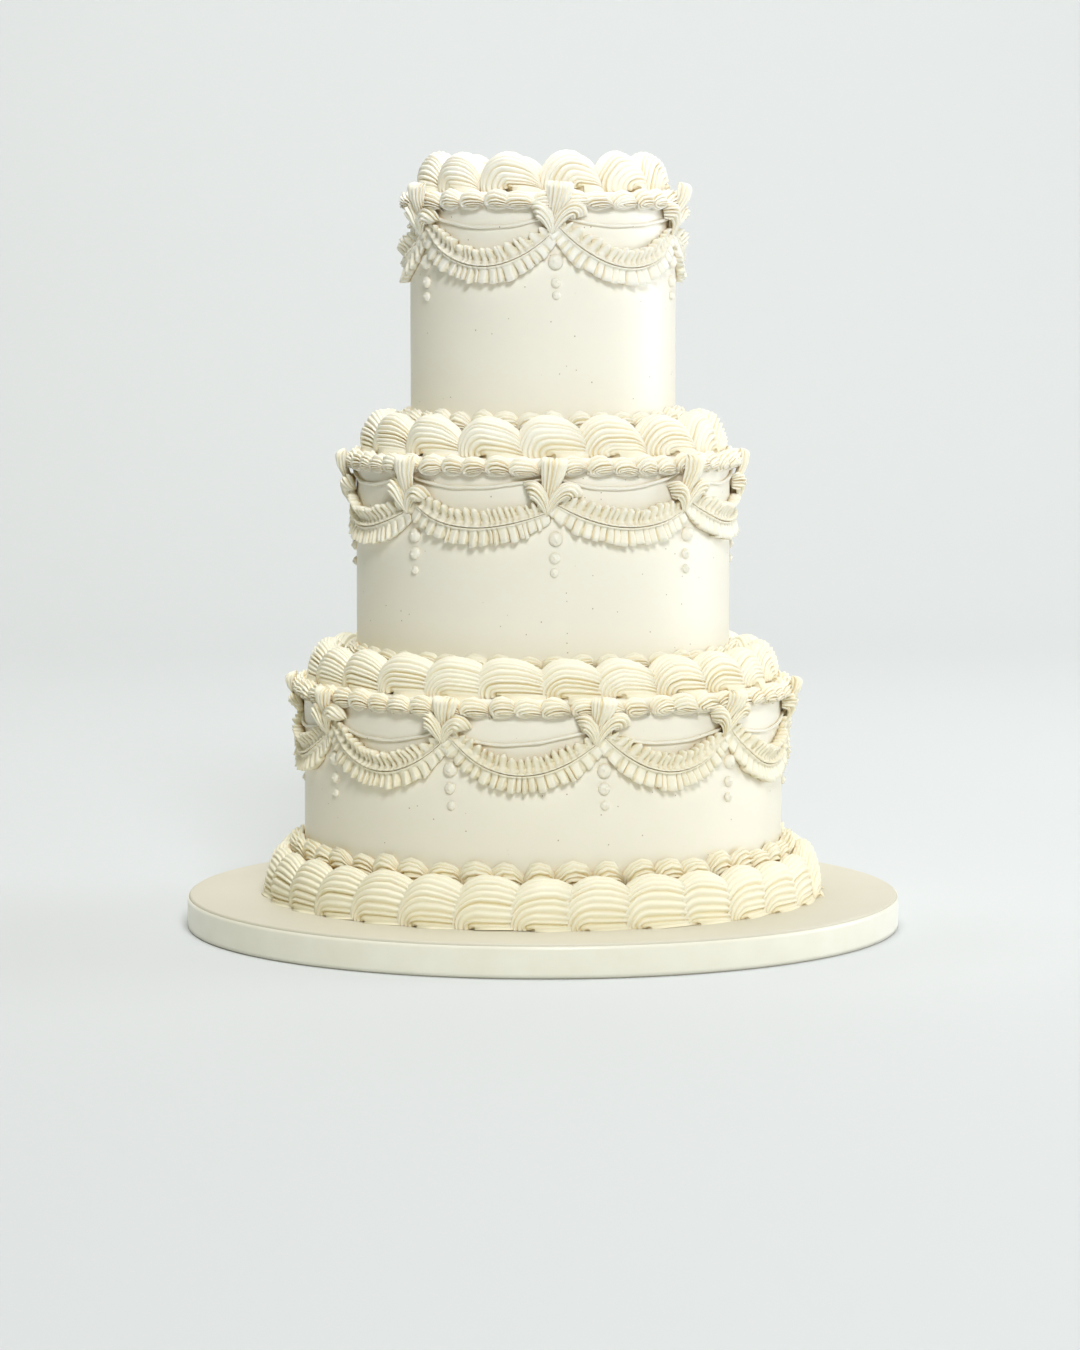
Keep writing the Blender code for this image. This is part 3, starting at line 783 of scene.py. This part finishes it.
def pipe_fleurs(tier, finish, draw):
    """Under each join of the swags a fan hangs from the rim, and two shells curl out over its tail."""
    crown_level, tip_level = FLEUR_ENDS[tier]
    skins = []
    for angle in FLEUR_ANGLES[tier]:
        place = (angle, WALL_RADIUS[tier], TIER_TOP[tier])
        tip = np.array([draw.uniform(-1.8, -0.2), tip_level + draw.uniform(-0.8, 0.8)])
        for guides, comb, sizes in SIDE_SHELLS:
            size = draw.uniform(*sizes)
            route = [tip + size * np.array(point) for point in guides] + [tip]
            skins.append(pulled_shell(
                place, np.array(route) * MM, SIDE_SHELL_BACKS, SIDE_SHELL_SIZE,
                SIDE_SHELL_TAPER + (comb * MM,), draw))
        crown = np.array([draw.uniform(1.2, 3.2), crown_level])
        route = (crown, crown - (0.6, 8.0), tip + (0.4, 11.5), tip + (0.0, 2.0))
        skins.append(pulled_shell(
            place, np.array(route) * MM, CROWN_BACKS, CROWN_SIZE, CROWN_FORM, draw,
            ridges=CROWN_RIDGES))
    piece = joined(f"{tier}_fleur_piping", skins, finish)
    nodes = [f"{tier}_fleur_{number:02d}" for number in range(1, len(FLEUR_ANGLES[tier]) + 1)]
    return settle(piece, "buttercream", *nodes)


def ruffle_skin(span, radius, top, curve, pleats, ruffle, draw):
    """One row of pleats along a hanging curve, each pleat a stiff tab at its free edge."""
    length = ruffle["length"]
    stand = ruffle["stand"]
    part, notch = ruffle["notch"]
    round_edge = ruffle["round_edge"]
    section = ruffle["section"]
    start, end = span
    edges = np.cumsum(draw.uniform(0.55, 1.45, pleats))
    edges = np.concatenate([[0.0], edges]) / edges[-1]
    within = np.tile(PLEAT_STOPS, pleats)
    pleat = np.repeat(np.arange(pleats), len(PLEAT_STOPS))
    along = np.append(edges[pleat] + within * (edges[pleat + 1] - edges[pleat]), 1.0)
    within = np.append(within, 1.0)
    pleat = np.append(pleat, pleats - 1)
    reach = math.radians(end - start) * radius

    def frame_at(share):
        place = curve(share)
        slope = (curve(share + 1e-3) - curve(share - 1e-3)) / (2e-3 * reach)
        tangent = np.stack([np.ones(len(share)), slope], 1) / np.sqrt(1.0 + slope ** 2)[:, None]
        upward = np.stack([-tangent[:, 1], tangent[:, 0]], 1) * ruffle["hand"]
        return np.stack([share * reach, place], 1), tangent, upward

    here, *_, upward = frame_at(along)
    middle = (edges[pleat] + edges[pleat + 1]) / 2.0
    hub, hub_tangent, hub_upward = frame_at(middle)
    tab_width = (edges[pleat + 1] - edges[pleat]) * reach * 0.96
    jitter = draw.uniform(-1.0, 1.0, (3, pleats))[:, pleat]
    full = 4.0 * along * (1.0 - along)
    grown_by = np.clip(1.6 * full, 0.0, 1.0)
    petal = np.sin(math.pi * np.clip(within, 0.0, 1.0)) ** 0.7
    size = (length[0] + (length[1] - length[0]) * grown_by) * (1.0 + 0.10 * jitter[0])
    size = size * (1.0 - round_edge * (1.0 - petal))
    parted = np.exp(-(np.minimum(within, 1.0 - within) / notch) ** 2)
    off = stand[0] + (stand[1] - stand[0]) * smooth_step(full, 0.2, 0.8)
    points = np.zeros((len(along), len(section), 3))
    crease_shade = np.zeros((len(along), len(section)))
    for row, (share, height, loose) in enumerate(section):
        stiff = hub + hub_tangent * ((within - 0.5) * tab_width + PLEAT_SLIDE * jitter[1] * loose)[:, None]
        free = stiff + hub_upward * (size * share)[:, None]
        soft = here + upward * (size * share)[:, None]
        flat = soft * (1.0 - loose) + free * loose
        wave = (within - 0.5) * 2.0 * ruffle["twist"] * (0.7 + 0.5 * jitter[2]) + PLEAT_LIFT * jitter[0]
        folded = wave - part * parted + round_edge * 3.0 * part * (petal - 0.7)
        out = height * off + loose * grown_by * folded + (1.0 - loose) * CREASE_BUMP * petal
        points[:, row] = on_wall(start, radius, flat[:, 0], flat[:, 1], np.maximum(out, -0.2 * MM), top)
        # Painted shade: a little along the crease, more in the notches where the pleats part
        crease_shade[:, row] = 0.25 * (1.0 - loose) + 0.7 * parted * loose
    return sheet(points, crease_shade)


def pipe_swags(tier, finish, draw):
    """Two ruffles hang from each fleur to the next, lowest past the middle, and share a doubled fold line.
    """
    left = FLEUR_ENDS[tier][1] + SWAG_RISE[0]
    right = FLEUR_ENDS[tier][1] + SWAG_RISE[1]
    radius = WALL_RADIUS[tier]
    angles = FLEUR_ANGLES[tier]
    skins = []
    for start, end in zip(angles, angles[1:] + (angles[0] + 360.0,)):
        low = SWAG_LOW[tier] + draw.uniform(-1.6, 1.2)
        lean = draw.uniform(0.0, 0.25)

        def curve(share, low=low, lean=lean):
            ends = left + (right - left) * share
            full = 4.0 * share * (1.0 - share) * (1.0 + lean * (2.0 * share - 1.0))
            return (ends + (low - ends) * full) * MM

        span = (start + 0.4, end - 0.4)
        pleats = round(math.radians(end - start) * radius / PLEAT_PITCH)
        for ruffle in (LOWER_RUFFLE, UPPER_RUFFLE):
            skins.append(ruffle_skin(span, radius, TIER_TOP[tier], curve, pleats, ruffle, draw))
    return settle(joined(f"{tier}_swag_piping", skins, finish), "buttercream", f"{tier}_swags")


def around_axis(turn, radius, height):
    """A grid of points round the cake's axis: a column of angles by a row of radii and heights."""
    return np.stack(np.broadcast_arrays(radius * np.sin(turn), -radius * np.cos(turn), height), 2)


def turned_skin(profile, sides, wobble=0.0):
    """A skin turned about the cake's axis; a profile point on the axis closes to a pole."""
    turn = np.linspace(0.0, 2.0 * math.pi, sides, endpoint=False)[:, None]
    radius = np.array([place[0] for place in profile])[None, :]
    height = np.array([place[1] for place in profile])[None, :]
    waves = np.sin(3.0 * turn + 40.0 * height) + 0.6 * np.sin(7.0 * turn - 25.0 * height)
    points = around_axis(turn, radius * (1.0 + wobble * waves), height)
    return sheet(points, np.zeros(points.shape[:2]), wrap_along=True, wrap_across=False)


def rounded_profile(radius, low, high, edge, rows):
    """A solid's outline from the axis, down its side with a rounded upper edge, back to the axis."""
    outline = [(0.0, high), (radius * 0.5, high), (radius - edge * 1.5, high)]
    for step in range(5):
        turn = math.pi / 2.0 * step / 4.0
        outline.append((radius - edge + edge * math.sin(turn), high - edge + edge * math.cos(turn)))
    for row in range(1, rows):
        outline.append((radius, high - edge + (low - high + edge) * row / rows))
    outline += [(radius, low), (radius * 0.5, low), (0.0, low)]
    return outline


def ice_tier(tier, finish):
    radius = WALL_RADIUS[tier]
    profile = rounded_profile(radius, TIER_FOOT[tier], TIER_TOP[tier], TIER_EDGE, 16)
    piece = joined(f"{tier}_tier_icing", [turned_skin(profile, TIER_SIDES, WALL_WOBBLE)], finish)
    return settle(piece, "buttercream", f"tier_{tier}")


def tube_skin(line, across, outward, thickness, sides=8):
    """A round thread along a line of points, closed at each end."""
    turn = np.linspace(0.0, 2.0 * math.pi, sides, endpoint=False)[None, :, None]
    ring = across[:, None, :] * np.cos(turn) + outward[:, None, :] * np.sin(turn)
    return sheet(line[:, None, :] + ring * thickness[:, None, None], np.zeros((len(line), sides)))


def pipe_strings(tier, finish, draw):
    """The thin drooping line above each swag, with the small wavers of a steady hand."""
    radius = WALL_RADIUS[tier]
    angles = FLEUR_ANGLES[tier]
    end_level, low_level = STRING_LEVELS[tier]
    skins = []
    for start, end in zip(angles, angles[1:] + (angles[0] + 360.0,)):
        along = np.linspace(0.03, 0.97, 44)
        ends = end_level + draw.uniform(-2.2, 2.2, 2)
        lean = draw.uniform(-0.35, 0.15)
        droop = 4.0 * along * (1.0 - along) * (1.0 + lean * (2.0 * along - 1.0))
        drop = ends.mean() - low_level + draw.uniform(-0.8, 0.8)
        offset = (ends[0] + (ends[1] - ends[0]) * along - drop * droop) * MM
        offset = offset + 0.12 * MM * np.sin(along * 23.0 + draw.uniform(0.0, 6.0))
        turn = np.radians(start + (end - start) * along)
        reach = radius + STRING_OFF_WALL
        line = np.stack([reach * np.sin(turn), -reach * np.cos(turn), TIER_TOP[tier] + offset], 1)
        outward = np.stack([np.sin(turn), -np.cos(turn), np.zeros_like(turn)], 1)
        tangent = np.gradient(line, axis=0)
        tangent /= np.linalg.norm(tangent, axis=1, keepdims=True)
        across = np.cross(outward, tangent)
        thickness = STRING_RADIUS + STRING_SWELL * np.sin(along * 31.0 + lean * 60.0)
        skins.append(tube_skin(line, across, outward, thickness))
    return settle(joined(f"{tier}_strings", skins, finish), "buttercream")


def pipe_dots(tier, finish, draw):
    """Three pressed dots under each fleur, smaller downwards, each with its own small peak."""
    radius = WALL_RADIUS[tier]
    outline = np.array(DOT_OUTLINE)
    turn = np.linspace(0.0, 2.0 * math.pi, 16, endpoint=False)[None, :]
    skins = []
    for angle in FLEUR_ANGLES[tier]:
        for offset, size in zip(DOT_OFFSETS[tier], DOT_RADII):
            size = size * (1.0 + draw.uniform(-0.08, 0.08)) * MM
            lean = draw.uniform(-0.3, 0.3, 2) * size
            bend = np.clip(outline[:, 1:], 0.0, 2.0) ** 3
            sideways = outline[:, :1] * size * np.cos(turn) + lean[0] * bend
            upward = outline[:, :1] * size * np.sin(turn) + lean[1] * bend
            out = outline[:, 1:] * size * DOT_BULGE
            shift = math.radians(DOT_TURN + draw.uniform(-0.3, 0.3)) * radius
            height = offset * MM + draw.uniform(-0.5, 0.5) * MM
            points = on_wall(angle, radius, sideways + shift, upward + height, out, TIER_TOP[tier])
            skins.append(sheet(points, np.zeros(points.shape[:2])))
    return settle(joined(f"{tier}_dots", skins, finish), "buttercream")


def dress_board(icing, ribbon):
    profile = rounded_profile(BOARD_RADIUS, 0.0, BOARD_TOP, BOARD_EDGE, 6)
    settle(joined("board_icing", [turned_skin(profile, BOARD_SIDES)], icing), "board_cover", "cake_board")
    inner = BOARD_RADIUS + 0.1 * MM
    outer = RIBBON_HIGH.x - RIBBON_BULGE
    tall = RIBBON_HIGH.z - RIBBON_LOW.z
    rows = [(inner, RIBBON_LOW.z)]
    for step in range(9):
        share = step / 8.0
        rows.append((outer + RIBBON_BULGE * math.sin(math.pi * share), RIBBON_LOW.z + tall * share))
    rows.append((inner, RIBBON_HIGH.z))
    turn = np.linspace(0.0, 2.0 * math.pi, BOARD_SIDES, endpoint=False)[:, None]
    radius = np.array([row[0] for row in rows])[None, :]
    height = np.array([row[1] for row in rows])[None, :]
    waver = RIBBON_BULGE * np.sin(5.0 * turn + 1.0) * (height - RIBBON_LOW.z) / tall
    points = around_axis(turn, radius, height + waver)
    band = sheet(points, np.zeros(points.shape[:2]), wrap_along=True, wrap_across=True)
    settle(joined("satin_ribbon", [band], ribbon), "satin_ribbon", "board_ribbon")


def stage_scene():
    """A pale paper sweep under soft lights from the front, the right and above."""
    sweep = bpy.data.meshes.new("paper_sweep")
    rows = [(SWEEP_START, 0.0), (SWEEP_BEND_START, 0.0)]
    for turn in np.linspace(0.1, 1.57, 16):
        rows.append((SWEEP_BEND_START + SWEEP_BEND * math.sin(turn), SWEEP_BEND * (1.0 - math.cos(turn))))
    rows.append((SWEEP_BEND_START + SWEEP_BEND, SWEEP_TOP))
    vertices = [(x, y, z) for y, z in rows for x in (-SWEEP_HALF_WIDTH, SWEEP_HALF_WIDTH)]
    faces = [(2 * row, 2 * row + 1, 2 * row + 3, 2 * row + 2) for row in range(len(rows) - 1)]
    sweep.from_pydata(vertices, [], faces)
    sweep.shade_smooth()
    sweep.materials.append(studio_paper())
    floor = bpy.data.objects.new("paper_sweep", sweep)
    bpy.context.scene.collection.objects.link(floor)
    for name, place, aim, size, power, tint in LIGHTS:
        light = bpy.data.lights.new(name, "AREA")
        light.size = size
        light.energy = power
        light.color = tint
        lamp = bpy.data.objects.new(name, light)
        lamp.location = place
        lamp.rotation_euler = (Vector(aim) - Vector(place)).to_track_quat("-Z", "Y").to_euler()
        bpy.context.scene.collection.objects.link(lamp)
    world = bpy.data.worlds.new("studio")
    world.use_nodes = True
    around = world.node_tree.nodes["Background"]
    around.inputs["Color"].default_value = ROOM_TINT
    around.inputs["Strength"].default_value = ROOM_STRENGTH
    bpy.context.scene.world = world
    bpy.context.scene.view_settings.view_transform = "Standard"


def set_camera():
    camera = bpy.data.cameras.new("camera")
    camera.sensor_width = SENSOR
    camera.lens = FOCAL_PIXELS * SENSOR / PICTURE_HEIGHT
    camera.clip_end = 50.0
    eye = bpy.data.objects.new("camera", camera)
    eye.location = (CAMERA_SIDEWAYS, -CAMERA_DISTANCE, BOARD_TOP + CAMERA_ABOVE_BOARD)
    eye.rotation_euler = (math.radians(90.0 - CAMERA_PITCH), 0.0, 0.0)
    bpy.context.scene.collection.objects.link(eye)
    bpy.context.scene.camera = eye


def main():
    draw = np.random.default_rng(7)
    piped = piped_buttercream()
    scraped = smoothed_buttercream()
    rings = ring_tree()
    set_camera()
    stage_scene()
    dress_board(board_icing(), satin())
    pipe_shells("base_shells", SHELL_BORDERS["base"], BOARD_TOP, rings, piped, 3)
    pipe_beads("base_beads", FOOT_BEADS["base"], WALL_RADIUS["bottom"], BASE_BEAD_FORM, piped, rings, 5)
    for number, tier in enumerate(("bottom", "middle", "top")):
        wall = WALL_RADIUS[tier]
        ice_tier(tier, scraped)
        pipe_shells(f"{tier}_rim_shells", SHELL_BORDERS[tier], TIER_TOP[tier], rings, piped, 11 + number)
        pipe_beads(f"{tier}_rim_beads", RIM_BEADS[tier], wall, RIM_BEAD_FORM, piped, rings, 21 + number)
        if tier in FOOT_BEADS:
            pipe_beads(
                f"{tier}_foot_beads", FOOT_BEADS[tier], wall, FOOT_BEAD_FORM, piped, rings, 31 + number)
        pipe_swags(tier, piped, draw)
        pipe_fleurs(tier, piped, draw)
        pipe_strings(tier, scraped, draw)
        pipe_dots(tier, scraped, draw)


main()
